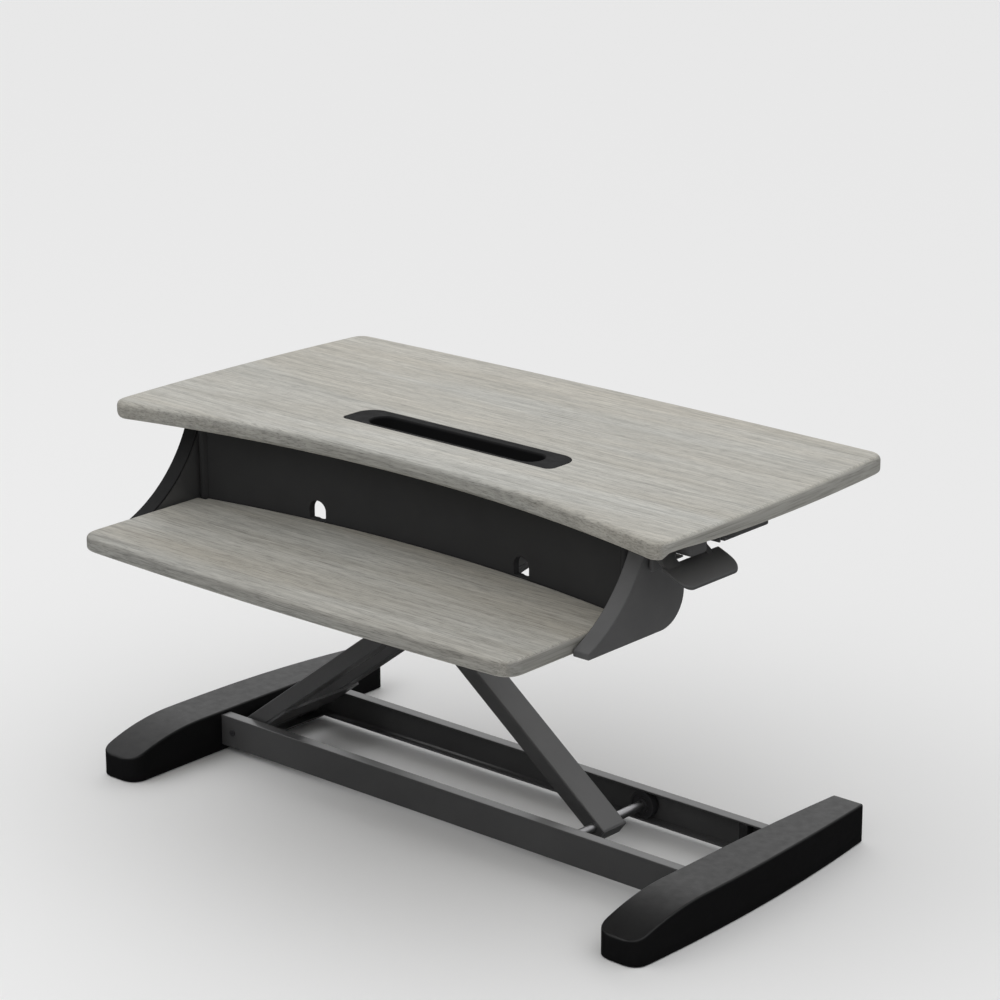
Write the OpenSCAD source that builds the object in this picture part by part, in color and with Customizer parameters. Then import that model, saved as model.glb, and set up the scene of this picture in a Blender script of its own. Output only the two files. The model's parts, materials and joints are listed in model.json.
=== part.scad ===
// Standing desk converter: a worksurface and a keyboard tray on an X-shaped lift.
// +X runs to the user's right, +Y away from the user, +Z up. Z = 0 is the desk that it
// stands on, and the origin is under the middle of the whole object. It is drawn raised.

/* [Worksurface] */
// Height of the upper face when raised
top_height = 492; // [480:1:500]
// Half the width at the widest place
top_half_width = 443.5; // [435:0.5:446]
// Board thickness
top_thickness = 22; // [18:1:25]
// Middle of the hollowed front edge
top_front_y = -95; // [-100:1:-92]
// Middle of the bowed back edge
top_back_y = 301; // [296:1:305]

/* [Keyboard tray] */
// Height of its upper face when raised
tray_height = 372; // [368:1:376]
// Half the width
tray_half_width = 346; // [340:1:346]
// Board thickness
tray_thickness = 20; // [18:1:20]
// Middle of its bowed front edge
tray_front_y = -301; // [-305:1:-292]

/* [Lift] */
// Distance between the end pivots of a leg
leg_length = 694; // [690:1:700]
// How far the two fixed pivots are left of the middle
pivot_x = 360; // [356:1:362]
// Middle of the lift from front to back
lift_y = 57.5; // [55:0.5:60]
// Height of the lower pivot and rollers
base_pivot_z = 30; // [29:0.5:31]
// Width of an outer leg, and its section height
arm_width = 31; // [28:1:31]
leg_depth = 21; // [20:1:22]
// Width of the middle leg
middle_leg_width = 42; // [38:1:44]

/* [Rails] */
// Height and flange depth of the roller channels
rail_height = 42; // [41:1:43]
rail_depth = 15; // [14:1:15]
// Sheet thickness of the channels
rail_wall = 2.5; // [2:0.5:3]
// Half the distance over the outside of a pair of channels
rail_half_span = 88; // [88:1:90]

/* [Feet] */
// Inner face of each foot, from the middle
foot_inner_x = 380.5; // [380:0.5:384]
// Height at the back end and at the highest place
foot_back_height = 50; // [48:1:52]
foot_height = 55; // [54:1:57]

/* [Hidden] */

$fn = 48;
overcut = 1;             // how far a cutter passes the face that it cuts
shaft_r = 6;             // pivot and roller shafts
running_gap = 0.05;      // radial clearance of a shaft in a bush or roller

// Lift geometry
rail_centre_top = top_height - top_thickness - rail_height / 2;
rail_bottom = base_pivot_z - rail_height / 2;
raised_rise = rail_centre_top - base_pivot_z;
leg_angle = asin(raised_rise / leg_length);
runner_x = leg_length * cos(leg_angle) - pivot_x;
arm_offset = rail_half_span - rail_depth - 4 - arm_width / 2;
leg_wall = 2;
leg_end = 13;            // leg material beyond its end pivots
cap_lip = 3;             // thickness of a leg's end cap
bush_r = 8;
roller_r = rail_height / 2 - rail_wall - 0.5;
roller_width = 10;
roller_inner = rail_half_span - rail_wall - 1.5 - roller_width;

// Colours
black_steel = [0.16, 0.16, 0.17];
black_plastic = [0.2, 0.2, 0.21];
rubber_black = [0.1, 0.1, 0.1];
zinc = [0.7, 0.7, 0.72];
nylon = [0.3, 0.3, 0.31];
laminate = [0.68, 0.67, 0.63];

// ---------- helpers ----------

// Drop of a bowed edge, t from its middle, that falls by sag at half its length
function bow_drop(t, half, sag) =
    let (r = (half * half + sag * sag) / (2 * sag)) r - sqrt(r * r - t * t);

// Points of an arc about c from angle a to angle b
function arc(c, r, a, b, n = 10) =
    [for (i = [0:n]) c + r * [cos(a + (b - a) * i / n), sin(a + (b - a) * i / n)]];

// Points of a rounded corner at c, between points p and q on its two sides
function corner(p, c, q, n = 8) =
    [for (i = [0:n]) let (t = i / n) (1 - t) * (1 - t) * p + 2 * t * (1 - t) * c + t * t * q];

// Points of a rounded rectangle
function rounded(x0, x1, y0, y1, r) = concat(
    arc([x1 - r, y0 + r], r, -90, 0), arc([x1 - r, y1 - r], r, 0, 90),
    arc([x0 + r, y1 - r], r, 90, 180), arc([x0 + r, y0 + r], r, 180, 270));

// Right half of an outline made whole across X = 0
function mirrored(half_points) = concat(half_points,
    [for (i = [len(half_points) - 1:-1:0]) [-half_points[i][0], half_points[i][1]]]);

module slab(points, z0, z1)
    translate([0, 0, z0]) linear_extrude(z1 - z0) polygon(points);

// Cylinder along Y from y0 to y1
module rod_y(r, y0, y1, x = 0, z = 0)
    translate([x, y0, z]) rotate([-90, 0, 0]) cylinder(r = r, h = y1 - y0);

// Cylinder along X from x0 to x1
module rod_x(r, x0, x1, y = 0, z = 0)
    translate([x0, y, z]) rotate([0, 90, 0]) cylinder(r = r, h = x1 - x0);

module box(x0, x1, y0, y1, z0, z1)
    translate([x0, y0, z0]) cube([x1 - x0, y1 - y0, z1 - z0]);

// Both copies of a part either side of the lift's middle plane
module front_and_back() {
    children();
    translate([0, 2 * lift_y, 0]) mirror([0, 1, 0]) children();
}

module left_and_right() {
    children();
    mirror([1, 0, 0]) children();
}

// Button-head screw standing up from its seat, with a hex recess
module button_screw(head_r, head_h, shank_r, shank_l)
    difference() {
        union() {
            cylinder(r = head_r, h = head_h);
            translate([0, 0, -shank_l]) cylinder(r = shank_r, h = shank_l + overcut);
        }
        translate([0, 0, head_h / 2]) cylinder(r = head_r * 0.45, h = head_h, $fn = 6);
    }

// ---------- outlines ----------

top_side_middle_y = -17;
top_side_half = 195;
top_side_bow = 6.6;
top_front_half = 400;
top_front_bow = 48;
top_back_half = 416;
top_back_bow = 6.8;

function top_side_x(y) =
    top_half_width - bow_drop(y - top_side_middle_y, top_side_half, top_side_bow);
function top_front(x) = [x, top_front_y - bow_drop(x, top_front_half, top_front_bow)];
function top_back(x) = [x, top_back_y - bow_drop(x, top_back_half, top_back_bow)];
function top_side(y) = [top_side_x(y), y];

front_corner_y = top_front_y - top_front_bow - 5;
back_corner_y = top_back_y - top_back_bow;
front_corner = [top_side_x(front_corner_y), front_corner_y];
back_corner = [top_side_x(back_corner_y), back_corner_y];
corner_cut = 22;
edge_steps = 12;

top_half_outline = let (
        front_end = front_corner[0] - corner_cut,
        side_start = front_corner_y + corner_cut,
        side_end = back_corner_y - corner_cut,
        back_start = back_corner[0] - corner_cut)
    concat(
        [for (i = [0:edge_steps - 1]) top_front(front_end * i / edge_steps)],
        corner(top_front(front_end), front_corner, top_side(side_start)),
        [for (i = [1:edge_steps - 1]) top_side(side_start + (side_end - side_start) * i / edge_steps)],
        corner(top_side(side_end), back_corner, top_back(back_start)),
        [for (i = [edge_steps - 1:-1:0]) top_back(back_start * i / edge_steps)]);

// Keyboard space: the back panel is an arc, hollow towards the user
panel_front_y = -56;
panel_half = 333;
panel_bow = 31;
panel_thickness = 10;
function panel_y(x) = panel_front_y - bow_drop(x, panel_half, panel_bow);
function panel_arc(half, back) =
    [for (i = [-edge_steps:edge_steps]) [half * i / edge_steps, panel_y(half * i / edge_steps) + back]];

post_r = 6;
post_front_y = panel_y(panel_half) - post_r + 1 - 0.2;

tray_bow = 9;
tray_corner_cut = 26;
function tray_front(x) = [x, tray_front_y + bow_drop(x, tray_half_width, tray_bow)];
tray_corner = tray_front(tray_half_width);
tray_half_outline = let (front_end = tray_half_width - tray_corner_cut) concat(
    [for (i = [0:edge_steps - 1]) tray_front(front_end * i / edge_steps)],
    corner(tray_front(front_end), tray_corner, tray_corner + [0, tray_corner_cut]),
    [[tray_half_width, post_front_y], [panel_half, post_front_y]],
    [for (i = [edge_steps:-1:0]) let (x = panel_half * i / edge_steps) [x, panel_y(x)]]);

// ---------- feet ----------

foot_back_y = 274;
foot_nose_y = -188;
foot_nose_height = 32;
foot_fall_start_y = -64;
foot_shell = 2.5;
foot_bottom = 1.5;
foot_side_x = foot_inner_x + 66.5;
foot_side_middle_y = -50;
foot_side_half = 324;
foot_side_bow = 22;

function foot_side(y, inset) =
    [foot_side_x - inset - bow_drop(y - foot_side_middle_y, foot_side_half, foot_side_bow), y];

// Plan of a right foot: straight inside, bowed outside, rounded nose
module foot_plan(inset) {
    inner_x = foot_inner_x + inset;
    back_y = foot_back_y - inset;
    nose_y = foot_nose_y + inset;
    nose_inner_cut = 22;
    nose_outer_cut = 20;
    outer_corner = foot_side(nose_y + 3, inset);
    polygon(concat(
        corner([inner_x, nose_y + nose_inner_cut], [inner_x, nose_y + 2], [inner_x + nose_inner_cut, nose_y]),
        corner(outer_corner - [nose_outer_cut, 3], outer_corner - [0, 2],
               foot_side(nose_y + nose_outer_cut, inset)),
        [for (i = [1:edge_steps]) foot_side(nose_y + nose_outer_cut
            + (back_y - nose_y - nose_outer_cut) * i / edge_steps, inset)],
        [[inner_x, back_y]]));
}

// Side view of a foot, Y across and Z up: a long low crown that falls in an arc to the nose
module foot_profile(inset, bottom) {
    fall = foot_height - foot_nose_height;
    fall_length = foot_fall_start_y - foot_nose_y;
    crown_y = 40;
    back_length = foot_back_y - crown_y;
    polygon(concat(
        [[foot_nose_y - overcut, bottom]],
        [[foot_nose_y - overcut, foot_nose_height - inset]],
        [for (i = [edge_steps:-1:0]) let (t = fall_length * i / edge_steps)
            [foot_fall_start_y - t, foot_height - inset - bow_drop(t, fall_length, fall)]],
        [for (i = [0:edge_steps]) let (t = back_length * i / edge_steps) [crown_y + t,
            foot_height - inset - bow_drop(t, back_length, foot_height - foot_back_height)]],
        [[foot_back_y + overcut, foot_back_height - inset], [foot_back_y + overcut, bottom]]));
}

module foot_solid(inset, bottom)
    intersection() {
        translate([0, 0, bottom]) linear_extrude(foot_height) foot_plan(inset);
        translate([foot_inner_x - overcut, 0, 0]) rotate([90, 0, 90])
            linear_extrude(foot_side_x - foot_inner_x + 2 * overcut) foot_profile(inset, bottom);
    }

foot_plate_x = [foot_inner_x + 5, foot_inner_x + 37];
foot_plate_y = [-150, 255];
foot_plate_z = [4, 7];
pad_x = foot_inner_x + 21;
pad_places = [-128, 232];
boss_places = [-95, 205];
boss_r = 4.5;
screw_shank_r = 1.8;

module foot_cover() color(black_plastic) difference() {
    union() {
        difference() {
            foot_solid(0, foot_bottom);
            foot_solid(foot_shell, foot_bottom - overcut);
        }
        // screw bosses between the foot frame and the crown
        intersection() {
            for (y = boss_places)
                translate([pad_x, y, foot_plate_z[1]]) cylinder(r = boss_r, h = foot_height);
            foot_solid(foot_shell / 2, foot_bottom);
        }
    }
    // slots in the inner wall that drop over the rails' ends
    front_and_back()
        box(foot_inner_x - overcut, foot_inner_x + foot_shell + overcut,
            lift_y - rail_half_span - 0.5, lift_y - rail_half_span + rail_wall + 0.5,
            foot_bottom - overcut, rail_bottom + rail_height + 0.5);
    for (y = boss_places)
        translate([pad_x, y, foot_plate_z[1] - overcut]) cylinder(r = screw_shank_r, h = foot_nose_height);
}

tab_thickness = 3;
rail_end_x = foot_inner_x + 31;
rail_bolt_x = foot_inner_x + 19;
rail_bolt_z = [base_pivot_z - 10, base_pivot_z + 10];
rail_bolt_r = 3;

// Steel plate inside a foot, with an upright tab behind each rail end
module foot_frame() color(black_steel) difference() {
    union() {
        box(foot_plate_x[0], foot_plate_x[1], foot_plate_y[0], foot_plate_y[1],
            foot_plate_z[0], foot_plate_z[1]);
        front_and_back()
            box(foot_plate_x[0], rail_end_x, lift_y - rail_half_span + rail_wall,
                lift_y - rail_half_span + rail_wall + tab_thickness,
                foot_plate_z[1] - overcut, rail_bottom + rail_height - 5);
    }
    front_and_back() for (z = rail_bolt_z)
        rod_y(rail_bolt_r, lift_y - rail_half_span - overcut,
              lift_y - rail_half_span + rail_wall + tab_thickness + overcut, rail_bolt_x, z);
    for (y = boss_places)
        translate([pad_x, y, 0]) cylinder(r = screw_shank_r, h = 10);
}

module foot_cover_left() mirror([1, 0, 0]) foot_cover();
module foot_cover_right() foot_cover();
module foot_frame_left() mirror([1, 0, 0]) foot_frame();
module foot_frame_right() foot_frame();

module foot_pads() color(rubber_black) left_and_right() for (y = pad_places)
    translate([pad_x, y, 0]) cylinder(r = 12, h = foot_plate_z[0]);

module foot_cover_screws() color(zinc) left_and_right() for (y = boss_places)
    translate([pad_x, y, foot_plate_z[0]]) mirror([0, 0, 1]) button_screw(3.5, 2, screw_shank_r, 20);

// ---------- base rails ----------

flange_end_x = 379.5;
tie_x = [351, 380];

// Channel along X with its open side towards the middle, front one of a pair
module rail_section(x0, x1, z0)
    translate([x0, lift_y - rail_half_span, z0]) rotate([90, 0, 90]) linear_extrude(x1 - x0)
        difference() {
            square([rail_depth, rail_height]);
            translate([rail_wall, rail_wall])
                square([rail_depth, rail_height - 2 * rail_wall]);
        }

module pivot_bore(z)
    rod_y(shaft_r / 2, lift_y - rail_half_span - overcut,
          lift_y - rail_half_span + rail_wall + overcut, -pivot_x, z);

module base_rail() color(black_steel) difference() {
    union() {
        rail_section(-flange_end_x, flange_end_x, rail_bottom);
        box(-rail_end_x, rail_end_x, lift_y - rail_half_span,
            lift_y - rail_half_span + rail_wall, rail_bottom, rail_bottom + rail_height);
    }
    pivot_bore(base_pivot_z);
    left_and_right() for (z = rail_bolt_z)
        rod_y(rail_bolt_r, lift_y - rail_half_span - overcut,
              lift_y - rail_half_span + rail_wall + overcut, rail_bolt_x, z);
}

module base_rail_front() base_rail();
module base_rail_back() translate([0, 2 * lift_y, 0]) mirror([0, 1, 0]) base_rail();

// Flat ties that join the two rails next to the feet
module base_ties() color(black_steel) left_and_right()
    box(tie_x[0], tie_x[1], lift_y - rail_half_span + rail_depth,
        lift_y + rail_half_span - rail_depth, rail_bottom, rail_bottom + rail_wall);

module base_rail_bolts() color(zinc) left_and_right() front_and_back() for (z = rail_bolt_z)
    translate([rail_bolt_x, lift_y - rail_half_span, z]) rotate([90, 0, 0])
        button_screw(5, 2, rail_bolt_r, rail_wall + tab_thickness);

// Rubber blocks that the rollers meet when the platform is all the way down
stop_x = [344, 356];
module roller_stop(z0)
    box(stop_x[0], stop_x[1], lift_y - rail_half_span + rail_wall, lift_y - rail_half_span + rail_depth,
        z0 + rail_wall, z0 + rail_height - rail_wall);

module base_roller_stops() color(rubber_black) front_and_back() roller_stop(rail_bottom);

// Shaft between a pair of rails, held by a bolt through each web
module pivot_shaft(z) color(zinc) difference() {
    rod_y(shaft_r, lift_y - rail_half_span + rail_wall, lift_y + rail_half_span - rail_wall, -pivot_x, z);
    front_and_back()
        rod_y(shaft_r / 2, lift_y - rail_half_span, lift_y - rail_half_span + 18, -pivot_x, z);
}

module pivot_bolts(z) color(zinc) front_and_back()
    translate([-pivot_x, lift_y - rail_half_span, z]) rotate([90, 0, 0])
        button_screw(4.5, 2, shaft_r / 2, 15);

module base_pivot_shaft() pivot_shaft(base_pivot_z);
module base_pivot_bolts() pivot_bolts(base_pivot_z);

// ---------- legs ----------

// Frame of the outer leg: local X runs up the leg from its lower pivot
module outer_leg_frame()
    translate([-pivot_x, lift_y, base_pivot_z]) rotate([0, -leg_angle, 0]) children();

// Frame of the middle leg: local X runs up the leg from its lower roller shaft
module middle_leg_frame()
    translate([runner_x, lift_y, base_pivot_z]) mirror([1, 0, 0]) rotate([0, -leg_angle, 0]) children();

// Rectangular tube along local X
module leg_tube(width)
    translate([-leg_end, 0, 0]) rotate([90, 0, 90]) linear_extrude(leg_length + 2 * leg_end)
        difference() {
            square([width, leg_depth], center = true);
            square([width - 2 * leg_wall, leg_depth - 2 * leg_wall], center = true);
        }

module leg_bores(r, width, places)
    for (x = places) rod_y(r, -width / 2 - overcut, width / 2 + overcut, x);

// Plug that closes a leg's end, with a bevel on its lower corner
module leg_cap(width) difference() {
    union() {
        translate([-leg_end - cap_lip, -width / 2, -leg_depth / 2]) cube([cap_lip, width, leg_depth]);
        translate([-leg_end - overcut, -width / 2 + leg_wall, -leg_depth / 2 + leg_wall])
            cube([4 + overcut, width - 2 * leg_wall, leg_depth - 2 * leg_wall]);
    }
    translate([-leg_end - cap_lip, 0, -leg_depth / 2]) rotate([0, 45, 0])
        cube([cap_lip, width + overcut, cap_lip], center = true);
}

module leg_caps(width) {
    leg_cap(width);
    translate([leg_length, 0, 0]) mirror([1, 0, 0]) leg_cap(width);
}

module outer_leg(side) color(black_steel) outer_leg_frame() translate([0, side * arm_offset, 0])
    difference() {
        leg_tube(arm_width);
        leg_bores(bush_r, arm_width, [0, leg_length / 2, leg_length]);
    }

module outer_leg_front() outer_leg(-1);
module outer_leg_back() outer_leg(1);

// Plates welded under the outer legs, clear of the middle leg, and a sleeve on the lower pivot
lower_tie = [28, 88];
upper_tie = [520, 580];
tie_thickness = 3;
sleeve_r = 11;
module outer_leg_ties() color(black_steel) outer_leg_frame() {
    for (tie = [lower_tie, upper_tie])
        translate([tie[0], -arm_offset - arm_width / 2, -leg_depth / 2 - tie_thickness])
            cube([tie[1] - tie[0], 2 * arm_offset + arm_width, tie_thickness]);
    difference() {
        rod_y(sleeve_r, -arm_offset + arm_width / 2, arm_offset - arm_width / 2);
        rod_y(shaft_r + 0.5, -arm_offset, arm_offset);
    }
}

module outer_leg_caps() color(black_plastic) outer_leg_frame()
    for (side = [-1, 1]) translate([0, side * arm_offset, 0]) leg_caps(arm_width);

// Flanged bushes, the flanges towards the rails
bush_flange = 1.5;
module flanged_bush(x, length) difference() {
    union() {
        rod_y(bush_r, -length / 2, length / 2, x);
        rod_y(bush_r + 2.5, -length / 2 - bush_flange, -length / 2, x);
    }
    rod_y(shaft_r + running_gap, -length / 2 - 2 * bush_flange, length / 2 + overcut, x);
}

module outer_leg_bushes() color(nylon) outer_leg_frame() {
    for (x = [0, leg_length / 2, leg_length]) {
        translate([0, -arm_offset, 0]) flanged_bush(x, arm_width);
        mirror([0, 1, 0]) translate([0, -arm_offset, 0]) flanged_bush(x, arm_width);
    }
}

module middle_leg() color(black_steel) middle_leg_frame() difference() {
    leg_tube(middle_leg_width);
    leg_bores(shaft_r, middle_leg_width, [0, leg_length / 2]);
    leg_bores(bush_r, middle_leg_width, [leg_length]);
}

module middle_leg_caps() color(black_plastic) middle_leg_frame() leg_caps(middle_leg_width);

module middle_leg_bush() color(nylon) middle_leg_frame() difference() {
    rod_y(bush_r, -middle_leg_width / 2 - bush_flange, middle_leg_width / 2 + bush_flange, leg_length);
    rod_y(shaft_r + running_gap, -middle_leg_width, middle_leg_width, leg_length);
}

// The shafts fixed in the middle leg
centre_shaft_half = arm_offset + arm_width / 2 + bush_flange + 1;
roller_shaft_half = rail_half_span - rail_wall - 1;
module centre_pivot_shaft() color(zinc) middle_leg_frame()
    rod_y(shaft_r, -centre_shaft_half, centre_shaft_half, leg_length / 2);

module centre_pivot_spacers() color(nylon) middle_leg_frame() for (side = [0, 1]) mirror([0, side, 0])
    difference() {
        rod_y(bush_r + 2, middle_leg_width / 2, arm_offset - arm_width / 2 - 0.5, leg_length / 2);
        rod_y(shaft_r, 0, arm_offset, leg_length / 2);
    }

module lower_roller_shaft() color(zinc) middle_leg_frame()
    rod_y(shaft_r, -roller_shaft_half, roller_shaft_half);

// Nylon roller with a hub towards the lift's middle
roller_hub = 3;
module roller(x, z) color(nylon) translate([x, lift_y, z]) difference() {
    union() {
        rod_y(roller_r, -roller_inner - roller_width, -roller_inner);
        rod_y(roller_r * 0.55, -roller_inner - overcut, -roller_inner + roller_hub);
    }
    rod_y(shaft_r + running_gap, -roller_inner - roller_width - overcut, -roller_inner + roller_hub + overcut);
    // dished outer and inner faces
    for (y = [-roller_inner - roller_width - overcut, -roller_inner - overcut])
        difference() {
            rod_y(roller_r - 3, y, y + 2 * overcut);
            rod_y(roller_r * 0.55, y - overcut, y + 3 * overcut);
        }
}

module back_of(y_plane) translate([0, 2 * y_plane, 0]) mirror([0, 1, 0]) children();

module lower_roller_front() roller(runner_x, base_pivot_z);
module lower_roller_back() back_of(lift_y) roller(runner_x, base_pivot_z);
module upper_roller_front() roller(runner_x, rail_centre_top);
module upper_roller_back() back_of(lift_y) roller(runner_x, rail_centre_top);

// ---------- slide carriage and gas spring ----------

carriage_reach = 280;       // from its axles to the gas spring's pin
plate_half = arm_offset - arm_width / 2 - 1.5;
plate_thickness = 3;
plate_height = 24;
spring_z = rail_centre_top - 3;
cross_pin_x = runner_x - carriage_reach;
cylinder_r = 11;
cylinder_length = 240;
eye_length = 14;
rod_r = 4;
pin_r = 4;
strap_x = [cross_pin_x + 16, runner_x - 90];
strap_width = 30;

module slide_carriage() color(black_steel) translate([0, lift_y, 0]) difference() {
    union() {
        for (side = [0, 1]) mirror([0, side, 0])
            box(cross_pin_x - 12, runner_x + 14, -plate_half, -plate_half + plate_thickness,
                rail_centre_top - plate_height / 2, rail_centre_top + plate_height / 2);
        for (x = strap_x)
            box(x, x + strap_width, -plate_half, plate_half, rail_centre_top + plate_height / 2 - overcut,
                rail_centre_top + plate_height / 2 + 2);
    }
    rod_y(shaft_r, -plate_half - overcut, plate_half + overcut, runner_x, rail_centre_top);
    rod_y(pin_r, -plate_half - overcut, plate_half + overcut, cross_pin_x, spring_z);
}

// Axle with a head inside the carriage, through the outer leg to the roller
module carriage_axle() color(zinc) translate([runner_x, lift_y, rail_centre_top]) {
    rod_y(shaft_r, -roller_shaft_half, -plate_half + plate_thickness);
    rod_y(shaft_r + 3, -plate_half + plate_thickness, -plate_half + plate_thickness + 4);
}
module carriage_axle_front() carriage_axle();
module carriage_axle_back() back_of(lift_y) carriage_axle();

module gas_spring_cross_pin() color(zinc) translate([0, lift_y, 0]) {
    rod_y(pin_r, -plate_half - 1, plate_half + 1, cross_pin_x, spring_z);
    for (side = [0, 1]) mirror([0, side, 0])
        rod_y(pin_r + 2, plate_half, plate_half + 1, cross_pin_x, spring_z);
}

module gas_spring_cylinder() color(black_steel) translate([0, lift_y, spring_z]) difference() {
    union() {
        rod_x(cylinder_r, cross_pin_x + eye_length, cross_pin_x + eye_length + cylinder_length);
        rod_y(8, -6, 6, cross_pin_x);
        box(cross_pin_x, cross_pin_x + eye_length + overcut, -6, 6, -5, 5);
    }
    rod_y(pin_r, -8, 8, cross_pin_x);
    // room for the piston rod
    rod_x(rod_r + running_gap, cross_pin_x + eye_length + 20, cross_pin_x + eye_length + cylinder_length + overcut);
}

// ---------- top frame ----------

top_rail_x = [-378, 366];
top_underside = top_height - top_thickness;
screw_places = [-320, -120, 80];

module top_rail() color(black_steel) difference() {
    rail_section(top_rail_x[0], top_rail_x[1], top_underside - rail_height);
    pivot_bore(rail_centre_top);
    for (x = screw_places)
        translate([x, lift_y - rail_half_span + rail_depth / 2 + 1, top_underside - rail_wall - overcut])
            cylinder(r = 2.5, h = 2 * rail_wall);
}
module top_rail_front() top_rail();
module top_rail_back() back_of(lift_y) top_rail();

tie_left_x = [-338, -260];
tie_screw_x = [-328, -270];
tie_screw_y = 55;
module top_tie_left() color(black_steel) difference() {
    box(tie_left_x[0], tie_left_x[1], lift_y - rail_half_span + rail_depth,
        lift_y + rail_half_span - rail_depth, top_underside - tie_thickness, top_underside);
    for (x = tie_screw_x, side = [-1, 1])
        translate([x, lift_y + side * tie_screw_y, top_underside - tie_thickness - overcut])
            cylinder(r = 2.5, h = tie_thickness + 2 * overcut);
}

// Plate at the right end: a down-turned lip outside, and two lugs that hold the release head.
// Its Y places are from the lift's middle, and its wider part stays clear of the outer leg's end.
anchor_x = [340, 414];
anchor_wide_x = 352;
anchor_y = [-52.5, 26.5];
anchor_narrow_y = -33;
anchor_lip = 16;
anchor_corner = 14;
head_x = [356, 378];
head_pin_x = 364;
head_pin_r = 2.5;
head_half = 12;
head_pin_z = spring_z - 8;
lever_x = 385;
lever_z = 455;
lever_shaft_r = 4;
lug_x = [355, 373];
anchor_screws = [[346.5, -23], [346.5, 18], [402, -40], [402, 17]];

module anchor_block(inset, reach, z0, z1) {
    x1 = anchor_x[1] - inset;
    y1 = anchor_y[1] - inset;
    r = anchor_corner - inset;
    slab(rounded(anchor_x[0] - reach, x1, anchor_narrow_y + inset, y1, 8), z0, z1);
    slab(rounded(anchor_wide_x + inset, x1, anchor_y[0] + inset, y1, r), z0, z1);
}

module spring_anchor_plate() color(black_steel) translate([0, lift_y, 0]) difference() {
    union() {
        difference() {
            anchor_block(0, 0, top_underside - anchor_lip, top_underside);
            anchor_block(tie_thickness, 20, top_underside - anchor_lip - overcut,
                         top_underside - tie_thickness);
        }
        for (side = [0, 1]) mirror([0, side, 0])
            box(lug_x[0], lug_x[1], -head_half - 0.5 - tie_thickness, -head_half - 0.5,
                spring_z - 14, top_underside - overcut);
        // bearing lug of the release lever's shaft
        box(lever_x - 8, lever_x + 8, 17, 21, lever_z - 8, top_underside - overcut);
    }
    rod_y(head_pin_r, -head_half - 8, head_half + 8, head_pin_x, head_pin_z);
    rod_y(lever_shaft_r + running_gap, 10, 24, lever_x, lever_z);
    rod_y(lever_shaft_r + 1, anchor_y[0] - overcut, anchor_y[0] + tie_thickness + overcut, lever_x, lever_z);
    for (place = anchor_screws)
        translate([place[0], place[1], top_underside - tie_thickness - overcut])
            cylinder(r = 2.5, h = tie_thickness + 2 * overcut);
}

module top_roller_stops() color(rubber_black) front_and_back() roller_stop(top_underside - rail_height);
module top_pivot_shaft() pivot_shaft(rail_centre_top);
module top_pivot_bolts() pivot_bolts(rail_centre_top);

// Screws up into the worksurface
module up_screw(x, y, seat)
    translate([x, y, seat]) mirror([0, 0, 1]) button_screw(4.5, 2, 2.5, 14);
module worksurface_screws() color(zinc) {
    front_and_back() for (x = screw_places)
        up_screw(x, lift_y - rail_half_span + rail_depth / 2 + 1, top_underside - rail_wall);
    for (x = tie_screw_x, side = [-1, 1])
        up_screw(x, lift_y + side * tie_screw_y, top_underside - tie_thickness);
    for (place = anchor_screws)
        up_screw(place[0], lift_y + place[1], top_underside - tie_thickness);
}

module gas_spring_rod() color(zinc)
    rod_x(rod_r, cross_pin_x + eye_length + 180, head_x[0] + 6, lift_y, spring_z);

button_x = 370;
button_r = 3;
head_top = spring_z + 4.5;
module release_head() color(black_plastic) difference() {
    box(head_x[0], head_x[1], lift_y - head_half, lift_y + head_half, spring_z - 12, head_top);
    rod_y(head_pin_r, lift_y - 20, lift_y + 20, head_pin_x, head_pin_z);
    rod_x(rod_r, head_x[0] - overcut, head_x[0] + 6, lift_y, spring_z);
    translate([button_x, lift_y, head_top - 9]) cylinder(r = button_r + running_gap, h = 12);
}

module release_head_pin() color(zinc) translate([0, lift_y, 0]) {
    rod_y(head_pin_r, -head_half - 4.5, head_half + 4.5, head_pin_x, head_pin_z);
    for (side = [0, 1]) mirror([0, side, 0])
        rod_y(head_pin_r + 2, head_half + 0.5 + tie_thickness, head_half + 2.5 + tie_thickness,
              head_pin_x, head_pin_z);
}

module release_button() color(zinc)
    translate([button_x, lift_y, head_top - 4.5]) cylinder(r = button_r, h = 9.2);

// ---------- worksurface ----------

insert_half = 169;
insert_y = [-17, 40];
insert_front_r = 10;
insert_back_r = 26;
slot_half = 135;
slot_y = [-10, 25];
insert_floor = 16;
insert_wall = 2;

// Bezel outline: nearly square in front, well rounded behind
function insert_outline(inset) = concat(
    arc([insert_half - inset - insert_front_r, insert_y[0] + inset + insert_front_r], insert_front_r, -90, 0),
    arc([insert_half - inset - insert_back_r, insert_y[1] - inset - insert_back_r], insert_back_r, 0, 90),
    arc([-insert_half + inset + insert_back_r, insert_y[1] - inset - insert_back_r], insert_back_r, 90, 180),
    arc([-insert_half + inset + insert_front_r, insert_y[0] + inset + insert_front_r],
        insert_front_r, 180, 270));

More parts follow.
